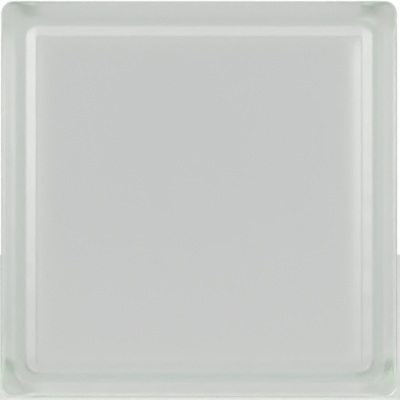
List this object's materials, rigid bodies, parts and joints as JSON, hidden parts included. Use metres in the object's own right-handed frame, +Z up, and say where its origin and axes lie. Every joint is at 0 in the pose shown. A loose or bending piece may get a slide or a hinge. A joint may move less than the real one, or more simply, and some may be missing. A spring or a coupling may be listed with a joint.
{
  "type": "glass block",
  "caption": "Square hollow glass block with satin faces, rounded corners, a lip round each face and a mortar channel all round its edge.",
  "frame": {"origin": "middle of the bottom edge, at mid-depth, in the plane of the lips that the block stands on", "axes": "+Z up, +Y from the front face to the back face, +X to the right seen from the front"},
  "size_m": [0.19, 0.08, 0.19],
  "materials": {
    "satin_glass": "pressed soda-lime glass, faintly green, with satin etched faces"
  },
  "bodies": {
    "root": {"front_half": "satin_glass", "back_half": "satin_glass"}
  },
  "joints": []
}
